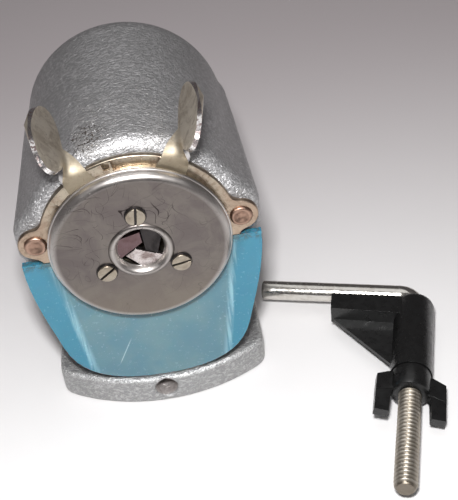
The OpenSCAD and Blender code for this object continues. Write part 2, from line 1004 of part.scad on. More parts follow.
body_casting();
base_foot();
base_screws();
ring_gear();
ring_gear_screws();
rear_bush();
drawer_clip();
drawer_clip_rivets();
shavings_drawer();
carriage_plate();
chuck_hub();
guide_rod_left();
guide_rod_right();
rod_clips();
return_spring_left();
return_spring_right();
front_cover();
cover_screws();
ear_ring_left();
ear_ring_right();
ear_spring();
jaw_1();
jaw_2();
jaw_3();
cutter_cage();
cutter_axle();
helical_cutter();
cutter_pinion();
crank_shaft();
crank_arm();
crank_nut();
knob_pin();
crank_knob();
clamp_rod();
clamp_jaw();
wing_nut();
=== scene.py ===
"""Looks of a hand-cranked desk pencil sharpener and its loose table clamp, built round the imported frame.

Shapes are worked out in millimetres in the frame's own axes, and piece() turns them into metres.
"""

import json
import math

import bmesh
import bpy
import numpy as np
import openvdb
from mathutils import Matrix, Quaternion, Vector


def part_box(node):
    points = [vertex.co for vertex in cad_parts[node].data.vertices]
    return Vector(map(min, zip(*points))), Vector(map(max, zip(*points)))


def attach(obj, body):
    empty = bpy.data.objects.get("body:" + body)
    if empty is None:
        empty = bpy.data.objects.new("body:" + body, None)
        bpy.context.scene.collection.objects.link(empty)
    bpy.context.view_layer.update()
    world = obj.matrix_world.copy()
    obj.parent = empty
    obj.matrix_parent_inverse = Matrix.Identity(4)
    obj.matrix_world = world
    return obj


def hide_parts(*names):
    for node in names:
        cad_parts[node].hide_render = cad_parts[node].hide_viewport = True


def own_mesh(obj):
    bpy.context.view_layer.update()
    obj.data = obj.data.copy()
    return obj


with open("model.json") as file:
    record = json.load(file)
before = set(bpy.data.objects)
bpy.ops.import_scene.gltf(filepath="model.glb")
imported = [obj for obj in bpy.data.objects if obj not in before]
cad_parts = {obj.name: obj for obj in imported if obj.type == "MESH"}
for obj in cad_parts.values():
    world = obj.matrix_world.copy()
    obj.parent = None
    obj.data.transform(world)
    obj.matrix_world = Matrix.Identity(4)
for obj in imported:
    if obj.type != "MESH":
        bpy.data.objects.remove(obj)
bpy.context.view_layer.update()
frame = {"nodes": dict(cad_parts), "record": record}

MM = 0.001


def corners(node):
    """Lowest and highest corner of a CAD node, in millimetres."""
    return [np.array(corner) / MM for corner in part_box(node)]


# ---------------------------------------------------------------- sizes, from the frame

cover_low, cover_high = corners("front_cover")
casting_low, casting_high = corners("body_casting")
foot_low, foot_high = corners("base_foot")
drawer_low, drawer_high = corners("shavings_drawer")
plate_low, plate_high = corners("carriage_plate")
rod_low, rod_high = corners("guide_rod_right")
knob_low, knob_high = corners("crank_knob")
spring_low, spring_high = corners("return_spring_right")

axis_z = (cover_low[2] + cover_high[2]) / 2
cover_r = (cover_high[2] - cover_low[2]) / 2
arch_r = casting_high[2] - axis_z + 0.3  # a little over the CAD's arch, to meet the photograph's outline
rod_x = (rod_low[0] + rod_high[0]) / 2
rod_z = (rod_low[2] + rod_high[2]) / 2
foot_bore = (0, 4.9)  # x and z of the foot's clamp hole

# The clamp's rod: its corner on the table, and the ways its smooth and threaded legs run
rod_corner = np.array([75.25, -15.3, 6.1])
clamp_turn = math.radians(-16.2)
smooth_way = np.array([-math.cos(clamp_turn), -math.sin(clamp_turn), 0])
thread_way = np.array([math.sin(clamp_turn), -math.cos(clamp_turn), 0])
upwards = np.array([0, 0, 1])


# ---------------------------------------------------------------- materials


class Finish:
    """A procedural material: a Principled shader, and the nodes that feed it in millimetre coordinates."""

    def __init__(self, name, **constants):
        self.material = bpy.data.materials.new(name)
        self.material.use_nodes = True
        self.tree = self.material.node_tree
        self.shader = self.tree.nodes["Principled BSDF"]
        for socket, value in constants.items():
            self.shader.inputs[socket.replace("_", " ")].default_value = value
        place = self.tree.nodes.new("ShaderNodeTexCoord")
        millimetres = {0: place.outputs["Object"], "Scale": 1 / MM}
        self.mm = self.node("ShaderNodeVectorMath", millimetres, operation="SCALE")
        parts = self.tree.nodes.new("ShaderNodeSeparateXYZ")
        self.tree.links.new(self.mm, parts.inputs[0])
        self.x, self.y, self.z = parts.outputs

    def node(self, kind, inputs, output=0, **settings):
        """Adds a node, sets or links its inputs, and returns one of its outputs."""
        made = self.tree.nodes.new(kind)
        for key, value in settings.items():
            setattr(made, key, value)
        for key, value in inputs.items():
            if isinstance(value, bpy.types.NodeSocket):
                self.tree.links.new(value, made.inputs[key])
            else:
                made.inputs[key].default_value = value
        return made.outputs[output]

    def math(self, operation, a, b=0.0):
        return self.node("ShaderNodeMath", {0: a, 1: b}, operation=operation)

    def stretched(self, x, y, z):
        """The coordinates with each axis multiplied."""
        return self.node("ShaderNodeVectorMath", {0: self.mm, 1: (x, y, z)}, operation="MULTIPLY")

    def shifted(self, by, where=None):
        """The coordinates, or those given, moved by a vector."""
        return self.node("ShaderNodeVectorMath", {0: where or self.mm, 1: by}, operation="ADD")

    def distance(self, place, where=None):
        """How far the surface is from a place."""
        inputs = {0: where or self.mm, 1: place}
        return self.node("ShaderNodeVectorMath", inputs, "Value", operation="DISTANCE")

    def distance_round(self, x, z):
        """How far the surface is from the line along Y through x and z."""
        return self.distance((x, 0, z), self.stretched(1, 0, 1))

    def noise(self, scale, detail=2.0, roughness=0.5, distortion=0.0, where=None):
        inputs = {"Vector": where or self.mm, "Scale": scale, "Detail": detail}
        inputs.update({"Roughness": roughness, "Distortion": distortion})
        return self.node("ShaderNodeTexNoise", inputs)

    def span(self, value, low, high, to_low=0.0, to_high=1.0):
        """A smooth step of value from low to high."""
        inputs = {"Value": value, 1: low, 2: high, 3: to_low, 4: to_high}
        return self.node("ShaderNodeMapRange", inputs, interpolation_type="SMOOTHSTEP")

    def mix(self, factor, a, b, blend="MIX"):
        """Colours a and b, mixed by factor."""
        a, b = (tuple(c) + (1,) if isinstance(c, tuple) else c for c in (a, b))
        return self.node("ShaderNodeMix", {0: factor, 6: a, 7: b}, 2, data_type="RGBA", blend_type=blend)

    def bump(self, height, depth):
        """Raises the surface by height times depth, in millimetres."""
        return self.node("ShaderNodeBump", {"Height": height, "Distance": depth * MM})

    def feed(self, **sources):
        """Links nodes to the shader's sockets, and gives the material."""
        for socket, source in sources.items():
            self.tree.links.new(source, self.shader.inputs[socket.replace("_", " ")])
        return self.material

    def arc_lines(self, count, seed, scale, width):
        """Thin curved lines: iso-lines of soft noise, broken up by a second noise."""
        total = None
        for k in range(count):
            moved = self.shifted((seed + 13.7 * k, seed * 0.7 - 5.1 * k, seed + 3.3 * k))
            field = self.noise(scale, 0.0, 0.5, 0.4, moved)
            away = self.math("ABSOLUTE", self.math("SUBTRACT", field, 0.42 + 0.05 * (k % 4)))
            line = self.span(away, width * 0.35, width, 1.0, 0.0)
            kept = self.span(self.noise(0.16, 1.0, 0.5, 0.0, moved), 0.54, 0.6)
            line = self.math("MULTIPLY", line, kept)
            total = line if total is None else self.math("MAXIMUM", total, line)
        return total


def hammertone(name, shade, chips=None, bore=None):
    """Grey hammered paint with fine leathery wrinkles that glint.

    Chips is a place where the paint has come off. Bore is the x and z of an unpainted hole in the foot's
    front. With it, the foot's upper edge gets a painted highlight of pale sparkles.
    """
    def shaded(by):
        return tuple(by * part for part in shade)

    f = Finish(name, Metallic=0.75, IOR=1.45, Coat_Weight=0.15, Coat_Roughness=0.3)
    bent = f.shifted(f.noise(0.5, 2.0, 0.5, 0.6), f.stretched(0.62, 1.15, 1.15))
    wrinkles = f.noise(1.15, 2.5, 0.55, 1.1, bent)
    fine = f.noise(3.2, 2.0, 0.6, 0.6)
    cloud = f.noise(0.06, 3.0, 0.55)
    crest = f.span(wrinkles, 0.44, 0.66)
    colour = f.mix(crest, shaded(0.86), shaded(1.40))
    colour = f.mix(f.span(fine, 0.55, 0.8, 0.0, 0.5), colour, shaded(1.5))
    colour = f.mix(f.span(cloud, 0.4, 0.7, 0.0, 0.3), colour, shaded(0.75))
    rough = f.span(fine, 0.25, 0.75, 0.34, 0.5)
    height = f.math("ADD", wrinkles, f.math("MULTIPLY", fine, 0.22))
    if chips:
        spots = f.noise(1.1, 4.0, 0.7, 0.8)
        near = f.span(f.distance(chips), 2.5, 7.5, 1.0, 0.0)
        mask = f.math("MULTIPLY", near, f.span(spots, 0.53, 0.58))
        colour = f.mix(mask, colour, (0.06, 0.045, 0.032))
        rough = f.math("MAXIMUM", rough, f.math("MULTIPLY", mask, 0.8))
        height = f.math("SUBTRACT", height, f.math("MULTIPLY", mask, 0.35))
    if bore:
        front, top = foot_low[1], foot_high[2]
        inside = f.span(f.distance_round(*bore), 2.9, 3.1, 1.0, 0.0)
        inside = f.math("MULTIPLY", inside, f.span(f.y, front + 0.1, front + 0.6))
        colour = f.mix(inside, colour, (0.60, 0.555, 0.54))
        # Painted highlight: pale sparkles along the foot's rounded upper edge, just below its top
        edge_highlight = f.math("MULTIPLY", f.span(f.z, top - 1.5, top - 0.5), f.span(fine, 0.42, 0.6))
        edge_highlight = f.math("MULTIPLY", edge_highlight, f.span(f.z, top - 0.15, top, 1.0, 0.0))
        colour = f.mix(f.math("MULTIPLY", edge_highlight, 0.7), colour, (0.86, 0.86, 0.86))
    return f.feed(Base_Color=colour, Roughness=rough, Normal=f.bump(height, 0.42))


def nickel_cover():
    """Brownish smeared nickel with painted highlights at its rim and hole, and thin dark scratches, most above
    the hole.
    """
    f = Finish("cover nickel", Metallic=1.0, Anisotropic=0.2)
    smears = f.noise(0.11, 4.0, 0.6, 0.8)
    colour = f.mix(f.span(smears, 0.3, 0.7), (0.125, 0.108, 0.104), (0.175, 0.156, 0.142))
    lower = f.span(f.z, axis_z - 20, axis_z - 4, 1.0, 0.0)
    colour = f.mix(f.math("MULTIPLY", lower, 0.6), colour, (0.195, 0.168, 0.138))
    middle = f.distance_round(0, axis_z)
    # Painted highlight: a pale band round the rim and a pale ring round the pencil hole
    rim = f.span(middle, cover_r - 2.6, cover_r - 0.5)
    rim_and_hole_highlight = f.math("MAXIMUM", rim, f.span(middle, 6.6, 8.2, 0.75, 0.0))
    colour = f.mix(rim_and_hole_highlight, colour, (0.60, 0.565, 0.54))
    most_scratched = (-4.0, cover_low[1], axis_z + 7.0)
    busy = f.span(f.distance(most_scratched), 9, 18, 1.0, 0.25)
    marks = f.math("MAXIMUM", f.arc_lines(12, 4.0, 0.075, 0.0022), f.arc_lines(8, 61.0, 0.15, 0.0034))
    marks = f.math("MULTIPLY", marks, busy)
    colour = f.mix(f.math("MULTIPLY", marks, 0.85), colour, (0.03, 0.022, 0.022))
    specks = f.span(f.noise(2.2, 2.0, 0.6), 0.68, 0.75)
    colour = f.mix(f.math("MULTIPLY", specks, 0.5), colour, (0.12, 0.09, 0.08))
    rough = f.math("ADD", f.span(smears, 0.3, 0.7, 0.30, 0.40), f.math("MULTIPLY", marks, 0.3))
    height = f.math("SUBTRACT", f.math("MULTIPLY", f.noise(1.6, 3.0, 0.6), 0.3), marks)
    return f.feed(Base_Color=colour, Roughness=rough, Normal=f.bump(height, 0.012))


def metal(name, colour, stain, roughness, stained=0.5, grain=1.5, depth=0.006):
    """Metal with soft stains, fine scratches and uneven gloss."""
    f = Finish(name, Metallic=1.0)
    cloud = f.noise(0.3, 4.0, 0.65, 0.5)
    fine = f.noise(grain, 3.0, 0.6)
    lines = f.noise(1.2, 2.0, 0.6, 0.0, f.stretched(0.25, 1.0, 2.4))
    tint = f.mix(f.math("MULTIPLY", f.span(cloud, 0.42, 0.68), stained), colour, stain)
    tint = f.mix(f.span(lines, 0.55, 0.75, 0.0, 0.35), tint, tuple(0.55 * c for c in colour))
    rough = f.math("ADD", f.span(fine, 0.3, 0.7, -0.06, 0.08), roughness)
    height = f.math("ADD", fine, f.math("MULTIPLY", lines, 0.6))
    return f.feed(Base_Color=tint, Roughness=rough, Normal=f.bump(height, depth))


def ear_sheet():
    """Yellowish plated sheet, cloudy on the finger pads and browner, duller towards the ring."""
    f = Finish("ear face", Metallic=1.0)
    cloud = f.span(f.noise(0.25, 4.0, 0.65, 0.8), 0.4, 0.66)
    fine = f.noise(1.8, 3.0, 0.6)
    stem = f.span(f.distance_round(0, axis_z), 26, 34, 1.0, 0.0)
    colour = f.mix(f.math("MULTIPLY", cloud, 0.8), (0.86, 0.79, 0.68), (0.56, 0.48, 0.38))
    colour = f.mix(f.math("MULTIPLY", stem, 0.9), colour, (0.30, 0.255, 0.185))
    stains = f.math("MULTIPLY", f.span(f.noise(0.9, 4.0, 0.7, 1.2), 0.56, 0.7), 0.55)
    colour = f.mix(stains, colour, (0.26, 0.20, 0.14))
    rough = f.math("ADD", f.span(fine, 0.3, 0.7, 0.40, 0.50), f.math("MULTIPLY", stem, 0.14))
    return f.feed(Base_Color=colour, Roughness=rough, Normal=f.bump(fine, 0.01))


def lug_sheet():
    """Passivated sheet, copper brown towards the lugs, with patches of grime."""
    f = Finish("passivated plate", Metallic=1.0)
    cloud = f.span(f.noise(0.35, 4.0, 0.65, 0.6), 0.4, 0.68)
    fine = f.noise(1.5, 3.0, 0.6)
    colour = f.mix(cloud, (0.50, 0.44, 0.35), (0.38, 0.30, 0.23))
    side = f.span(f.math("ABSOLUTE", f.x), 19, 25)
    colour = f.mix(f.math("MULTIPLY", side, 0.75), colour, (0.40, 0.29, 0.215))
    grime = f.math("MULTIPLY", f.span(f.noise(0.8, 4.0, 0.7, 1.0), 0.5, 0.68), 0.6)
    colour = f.mix(grime, colour, (0.17, 0.12, 0.09))
    rough = f.span(fine, 0.3, 0.7, 0.30, 0.44)
    return f.feed(Base_Color=colour, Roughness=rough, Normal=f.bump(f.math("ADD", fine, cloud), 0.012))


def thread_plating():
    """Satin plating on the thread, with painted shade in the roots between its ridges."""
    f = Finish("thread plating", Metallic=1.0)
    from_corner = f.shifted(tuple(-rod_corner))
    side, up = (
        f.node("ShaderNodeVectorMath", {0: from_corner, 1: tuple(way)}, "Value", operation="DOT_PRODUCT")
        for way in (smooth_way, upwards))
    square = f.math("ADD", f.math("MULTIPLY", side, side), f.math("MULTIPLY", up, up))
    # Painted shade: darker where the surface lies deep between the thread's ridges
    groove_shade = f.span(f.math("SQRT", square), 2.5, 3.05, 1.0, 0.0)
    cloud = f.span(f.noise(0.5, 4.0, 0.65, 0.5), 0.4, 0.68)
    colour = f.mix(cloud, (0.40, 0.37, 0.325), (0.33, 0.30, 0.25))
    colour = f.mix(f.math("MULTIPLY", groove_shade, 0.75), colour, (0.13, 0.105, 0.08))
    rough = f.span(f.noise(2.0, 3.0, 0.6), 0.3, 0.7, 0.42, 0.54)
    return f.feed(Base_Color=colour, Roughness=rough, Normal=f.bump(f.noise(2.5, 3.0, 0.6), 0.01))


def sheared_edge():
    """Bright plated edge of the pressed sheet, pitted with dark specks towards its top."""
    f = Finish("plated edge", Metallic=1.0)
    pits = f.span(f.noise(1.1, 3.0, 0.7, 0.5), 0.46, 0.58)
    pits = f.math("MULTIPLY", pits, f.span(f.z, axis_z + 26, axis_z + 34, 0.0, 1.0))
    colour = f.mix(f.math("MULTIPLY", pits, 0.85), (0.76, 0.74, 0.73), (0.15, 0.085, 0.08))
    rough = f.span(pits, 0.0, 1.0, 0.20, 0.5)
    return f.feed(Base_Color=colour, Roughness=rough, Normal=f.bump(pits, -0.008))


def drawer_plastic():
    """Milky blue translucent styrene with one long scratch, clearer where the side walls stand behind it."""
    f = Finish("drawer plastic", IOR=1.49, Transmission_Weight=0.10,
               Subsurface_Weight=0.3, Subsurface_Scale=0.004)
    across = f.math("ADD", f.math("ABSOLUTE", f.x), f.math("MULTIPLY", f.z, -0.14))
    cloud = f.noise(0.10, 3.0, 0.5, 0.4)
    haze = f.noise(0.5, 3.0, 0.6, 0.0, f.stretched(2.2, 1.0, 0.12))
    middle = f.mix(f.span(cloud, 0.35, 0.65), (0.088, 0.198, 0.250), (0.118, 0.225, 0.258))
    colour = f.mix(f.span(across, 14.6, 17.8), middle, (0.040, 0.205, 0.300))
    wall = f.math("MULTIPLY", f.span(across, 14.6, 16.4), f.span(across, 16.6, 17.6, 1.0, 0.0))
    wall = f.math("MULTIPLY", wall, f.span(haze, 0.36, 0.62))
    colour = f.mix(f.math("MULTIPLY", wall, 0.6), colour, (0.36, 0.60, 0.68))
    shadow = f.span(f.distance_round(0, axis_z), cover_r, cover_r + 5.5, 0.5, 0.0)
    colour = f.mix(shadow, colour, (0.035, 0.105, 0.135))
    slant = f.math("ABSOLUTE", f.math("ADD", f.math("MULTIPLY", f.z, -0.5), f.math("ADD", f.x, 19.0)))
    reach = f.math("MULTIPLY", f.span(f.z, 14.8, 17.0), f.span(f.z, 21.5, 24.5, 1.0, 0.0))
    scratch = f.math("MULTIPLY", f.span(slant, 0.04, 0.20, 1.0, 0.0), reach)
    fine = f.span(f.noise(0.9, 2.0, 0.55, 0.3, f.stretched(0.3, 1.0, 1.6)), 0.66, 0.76)
    marks = f.math("MAXIMUM", f.math("MULTIPLY", scratch, 0.75), f.math("MULTIPLY", fine, 0.03))
    colour = f.mix(marks, colour, (0.50, 0.66, 0.70))
    high = f.span(f.z, drawer_high[2] - 2.6, drawer_high[2] - 0.9)
    chipped = f.math("MULTIPLY", high, f.span(f.noise(0.55, 3.0, 0.6, 1.0), 0.46, 0.51))
    colour = f.mix(f.math("MULTIPLY", chipped, 0.7), colour, (0.06, 0.10, 0.11))
    rough = f.span(f.noise(1.1, 4.0, 0.7), 0.3, 0.75, 0.16, 0.30)
    height = f.math("SUBTRACT", f.noise(0.25, 2.0), f.math("MULTIPLY", chipped, 3.0))
    return f.feed(Base_Color=colour, Roughness=rough, Normal=f.bump(height, 0.03))


def black_plastic():
    """Satin black moulding with faint scuffs and uneven gloss."""
    f = Finish("black plastic", IOR=1.5, Specular_IOR_Level=0.5)
    scuffs = f.span(f.noise(0.8, 4.0, 0.7, 0.8), 0.56, 0.7)
    colour = f.mix(f.math("MULTIPLY", scuffs, 0.5), (0.006, 0.006, 0.006), (0.012, 0.012, 0.012))
    rough = f.span(f.noise(0.5, 3.0, 0.6), 0.3, 0.7, 0.24, 0.4)
    return f.feed(Base_Color=colour, Roughness=rough, Normal=f.bump(f.noise(3.0, 3.0, 0.6), 0.01))


# Named for the record's material slots, or for a piece that looks different within its slot
finishes = {
    "hammertone": hammertone("hammertone", (0.42, 0.415, 0.42), chips=(-9.5, -24.0, axis_z + 26.0)),
    "foot_paint": hammertone("foot hammertone", (0.37, 0.37, 0.37), bore=foot_bore),
    "cover_nickel": nickel_cover(),
    "passivated_plate": lug_sheet(),
    "ear_face": ear_sheet(),
    "plated_edge": sheared_edge(),
    "rivet_copper": metal("rivet copper", (0.38, 0.25, 0.19), (0.20, 0.12, 0.09), 0.38, 0.7),
    "drawer_plastic": drawer_plastic(),
    "screw_steel": metal("screw steel", (0.33, 0.29, 0.235), (0.20, 0.16, 0.12), 0.33, 0.6, 1.5, 0.015),
    "dark_steel": metal("dark steel", (0.20, 0.19, 0.18), (0.09, 0.08, 0.07), 0.38, 0.5),
    "cutter_steel": metal("cutter steel", (0.36, 0.35, 0.34), (0.18, 0.17, 0.16), 0.27, 0.4),
    "bright_steel": metal("bright steel", (0.66, 0.64, 0.60), (0.42, 0.38, 0.33), 0.20, 0.45),
    "thread_steel": thread_plating(),
    "bush_brass": metal("bush brass", (0.66, 0.50, 0.26), (0.36, 0.24, 0.12), 0.30, 0.6),
    "black_plastic": black_plastic(),
    "jaw_steel": metal("jaw steel", (0.55, 0.50, 0.49), (0.20, 0.15, 0.14), 0.30, 0.9, 1.6, 0.12),
    "jaw_dull": metal("dull jaw", (0.15, 0.10, 0.105), (0.10, 0.06, 0.06), 0.36, 0.7, 2.0, 0.06),
    # Near black steel for painted shade: the shaded top jaw, and the discs in the screw slots
    "painted_shade_steel": metal("steel in painted shade", (0.05, 0.045, 0.045), (0.02, 0.018, 0.018), 0.45, 0.7, 2.0, 0.04),
}


# ---------------------------------------------------------------- mesh helpers


def piece(name, points, faces, body, slot, finish=None, replaces=(), sharp=40):
    """A new piece from points in millimetres. Edges sharper than the angle stay crisp."""
    mesh = bpy.data.meshes.new(name)
    mesh.from_pydata((np.asarray(points, float) * MM).tolist(), [], [list(map(int, face)) for face in faces])
    return finished(name, mesh, body, slot, finish, replaces, sharp)


def finished(name, mesh, body, slot, finish=None, replaces=(), sharp=40):
    """A new piece from a mesh in metres, in the finish named, or else in its slot's."""
    mesh.validate()
    mesh.polygons.foreach_set("use_smooth", [True] * len(mesh.polygons))
    mesh.set_sharp_from_angle(angle=math.radians(sharp))
    mesh.materials.clear()
    mesh.materials.append(finishes[finish or slot])
    made = bpy.data.objects.new(name, mesh)
    bpy.context.scene.collection.objects.link(made)
    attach(made, body)
    if replaces:
        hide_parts(*replaces)
    return made


def ring_faces(rings, sides, closed=False):
    """Quads between rings of points that are each closed round."""
    faces = []
    for i in range(rings if closed else rings - 1):
        for j in range(sides):
            a, b = i * sides, (i + 1) % rings * sides
            faces.append((a + j, a + (j + 1) % sides, b + (j + 1) % sides, b + j))
    return faces


def lathe(name, profile, x, z, body, slot, replaces, sides, sharp=40):
    """A piece turned about the line along Y through x and z, from a closed profile of radius and y."""
    profile = [(max(r, 0.001), y) for r, y in profile]
    turn = np.linspace(0, 2 * math.pi, sides, endpoint=False)
    points = [(x + r * math.cos(a), y, z + r * math.sin(a)) for r, y in profile for a in turn]
    faces = ring_faces(len(profile), sides, closed=True)
    made = piece(name, points, faces, body, slot, None, replaces, sharp)
    cleaned(made.data)


def cleaned(mesh, weld=1e-6, flat=None):
    """Welds points, dissolves flat faces if asked, and turns all faces outwards."""
    work = bmesh.new()
    work.from_mesh(mesh)
    bmesh.ops.remove_doubles(work, verts=work.verts, dist=weld)
    if flat:
        bmesh.ops.dissolve_limit(work, angle_limit=math.radians(flat), verts=work.verts, edges=work.edges)
    bmesh.ops.recalc_face_normals(work, faces=work.faces)
    work.to_mesh(mesh)
    work.free()


def softened(node, body, slot, width, finish=None):
    """A copy of a CAD node with small rounds along its sharp edges, which stands for it."""
    sharp = 35
    mesh = frame["nodes"][node].data.copy()
    cleaned(mesh, 2e-6, 1.0)
    made = finished(node + "_piece", mesh, body, slot, finish, (node,), sharp)
    rounds = made.modifiers.new("rounds", "BEVEL")
    rounds.width = width * MM
    rounds.segments = 3
    rounds.limit_method = "ANGLE"
    rounds.angle_limit = math.radians(sharp)
    rounds.harden_normals = True


def arc(centre, radius, start, end, count):
    """Points on an arc, in degrees."""
    turn = np.radians(np.linspace(start, end, count))
    return [(centre[0] + radius * math.cos(a), centre[1] + radius * math.sin(a)) for a in turn]


def bezier(controls, count):
    """Points on a cubic curve."""
    t = np.linspace(0, 1, count)[:, None]
    p = np.array(controls, float)
    return (1 - t) ** 3 * p[0] + 3 * t * (1 - t) ** 2 * p[1] + 3 * t * t * (1 - t) * p[2] + t**3 * p[3]


def smooth_step(value, low, high):
    """A soft step of a number from 0 at low to 1 at high."""
    t = np.clip((value - low) / (high - low), 0, 1)
    return t * t * (3 - 2 * t)


# ---------------------------------------------------------------- distance fields


def rounded_max(a, b, radius):
    """Intersection of two fields with a round edge."""
    outside = np.hypot(np.maximum(a + radius, 0), np.maximum(b + radius, 0))
    return np.minimum(np.maximum(a, b), -radius) + outside


def smooth_min(a, b, width):
    """Union of two fields with a fillet."""
    share = np.clip(0.5 + 0.5 * (b - a) / width, 0, 1)
    return b + (a - b) * share - width * share * (1 - share)


def outline_distance(x, z, outline):
    """Distance from a closed outline, negative inside."""
    nearest = np.full(x.shape, 1e9)
    inside = np.zeros(x.shape, bool)
    for (ax, az), (bx, bz) in zip(outline, np.roll(outline, -1, axis=0)):
        ex, ez = bx - ax, bz - az
        if ex * ex + ez * ez < 1e-9:
            continue
        wx, wz = x - ax, z - az
        t = np.clip((wx * ex + wz * ez) / (ex * ex + ez * ez), 0, 1)
        nearest = np.minimum(nearest, (wx - ex * t) ** 2 + (wz - ez * t) ** 2)
        if az != bz:
            inside ^= ((az > z) != (bz > z)) & (x < ax + ex * (z - az) / ez)
    return np.where(inside, -1, 1) * np.sqrt(nearest)


class Block:
    """A grid of sample points round a CAD node, in millimetres."""

    def __init__(self, node, step):
        low, high = corners(node)
        margin = 2
        self.node, self.step = node, step
        self.first = np.floor((low - margin) / step)
        count = np.ceil((high + margin) / step) - self.first + 1
        lines = [(f + np.arange(int(n))) * step for f, n in zip(self.first, count)]
        self.x, self.y, self.z = np.meshgrid(*lines, indexing="ij")
        self.y_line = lines[1]

    def solid(self):
        """Distance from the CAD node's own surface, negative inside."""
        mesh = frame["nodes"][self.node].data
        mesh.calc_loop_triangles()
        points = np.array([v.co for v in mesh.vertices]) / MM / self.step - self.first
        faces = np.array([t.vertices for t in mesh.loop_triangles])
        level = openvdb.FloatGrid.createLevelSetFromPolygons(points, triangles=faces, halfWidth=4.0)
        values = np.full(self.x.shape, 4.0, np.float32)
        level.copyToArray(values)
        return values * self.step

    def skin(self, values, softer=1):
        """Points and faces of the surface where the field, smoothed a number of times, is zero."""
        for _ in range(softer):
            for axis in range(3):
                values = (np.roll(values, 1, axis) + 2 * values + np.roll(values, -1, axis)) / 4
        level = openvdb.FloatGrid(background=4.0)
        level.copyFromArray(values.astype(np.float32))
        points, faces = level.convertToQuads()
        points = (points + self.first) * self.step
        a, b, c = (points[faces[:, k]] for k in range(3))
        if np.einsum("ij,ij->i", a, np.cross(b, c)).sum() < 0:
            faces = faces[:, ::-1]
        return points, faces


# ---------------------------------------------------------------- casting

# Right half of the drawer front's outline, from its lowest point to its top corner
drawer_base, drawer_top = drawer_low[2], drawer_high[2]
belly = [(0, drawer_base), (14, drawer_base), (22.5, drawer_base + 4.2), (25.2, drawer_base + 14.7)]
flank = [(25.2, drawer_base + 14.7), (26.9, 30.8), (30.6, 42), (30.6, drawer_top)]
drawer_half = np.concatenate([bezier(belly, 24), bezier(flank, 20)[1:]])

drawer_gap = 0.8
wall = 1.5
wall_inset = 3.4
shoulder_w = casting_high[0]
shoulder_rise = 11.4
tail_w = 27.5
tail_squeeze = 0.92
edge_front = 4.0
edge_back = 13.5
ring_hole_r = 22.8
rod_hole_r = 1.66
bush_hole_r = 6.0


def casting_section(share):
    """Right half of the casting's section, from its front (share 0) to its back (share 1)."""
    step = np.gradient(drawer_half, axis=0)
    inward = np.stack([-step[:, 1], step[:, 0]], 1) / np.linalg.norm(step, axis=1)[:, None]
    inner = drawer_half + drawer_gap * inward
    inner[0, 0] = 0
    width = shoulder_w + (tail_w - shoulder_w) * share
    rise = shoulder_rise + (1 - shoulder_rise) * share
    inner[:, 0] *= 1 + (tail_squeeze - 1) * share
    top = [(width, drawer_top + 0.8), (width, axis_z + 0.42 * rise), (width - 1, axis_z + 0.63 * rise)]
    return np.concatenate([inner, top, [(width - 7.2, axis_z + rise), (0, axis_z + rise)]])


def cast_body():
    """The casting: an arch and fading shoulders blended into one skin, hollow as the CAD solid is."""
    block = Block("body_casting", 0.5)
    x, y, z = block.x, block.y, block.z
    front, back = casting_low[1], casting_high[1]
    round_axis = np.hypot(x, z - axis_z)
    arch = rounded_max(round_axis - arch_r, front - y, edge_front)
    arch = np.maximum(arch, rounded_max(round_axis - arch_r, y - back, edge_back))
    section = np.empty_like(x)
    for i, line in enumerate(block.y_line):
        share = np.clip((line - front) / (back - front), 0, 1)
        section[:, i, :] = outline_distance(np.abs(x[:, i, :]), z[:, i, :], mirrored(casting_section(share)))
    half = np.interp(block.y_line, [front, back - edge_back], [shoulder_w + 2, tail_w])[None, :, None]
    plan = rounded_max(np.abs(x) - half, y - back, edge_back)
    lower = np.maximum(rounded_max(section, front - y, 2.4), plan)
    blend = np.interp(block.y_line, [front, back], [5.0, 5.5])[None, :, None]
    outside = smooth_min(arch, lower, blend)
    skin = np.maximum(outside, -outside - wall)
    chuck_hole = np.maximum(round_axis - ring_hole_r, y - front - 4.5)
    drawer_hole = np.maximum(np.maximum(section + wall_inset - drawer_gap, y - front - 5), z - axis_z + 8)
    drawer_seat = np.maximum(y - front - 0.7, z - drawer_top - 0.6)
    rod_holes = np.maximum(np.hypot(np.abs(x) - rod_x, z - rod_z) - rod_hole_r, y - 1)
    bush_hole = np.maximum(round_axis - bush_hole_r, 20 - y)
    for opening in (chuck_hole, drawer_hole, drawer_seat, rod_holes, bush_hole):
        skin = np.maximum(skin, -opening)
    pad_middle, pad_half = (0, 2.5, 11), (12, 24.5, 2.2)
    pad = np.maximum.reduce([np.abs(line - m) - h for line, m, h in zip((x, y, z), pad_middle, pad_half)])
    body = np.maximum(np.minimum(block.solid(), skin), np.minimum(outside, pad))
    points, faces = block.skin(body)
    piece("cast_body", points, faces, "body", "hammertone", replaces=("body_casting",), sharp=180)


def mirrored(half):
    """A closed outline from its right half."""
    return np.concatenate([half, (half * (-1, 1))[::-1]])


def cast_foot():
    """The foot, with a soft upper edge as cast."""
    block = Block("base_foot", 0.3)
    points, faces = block.skin(block.solid(), softer=9)
    piece("cast_foot", points, faces, "body", "hammertone", "foot_paint", ("base_foot",), sharp=180)


# ---------------------------------------------------------------- chuck


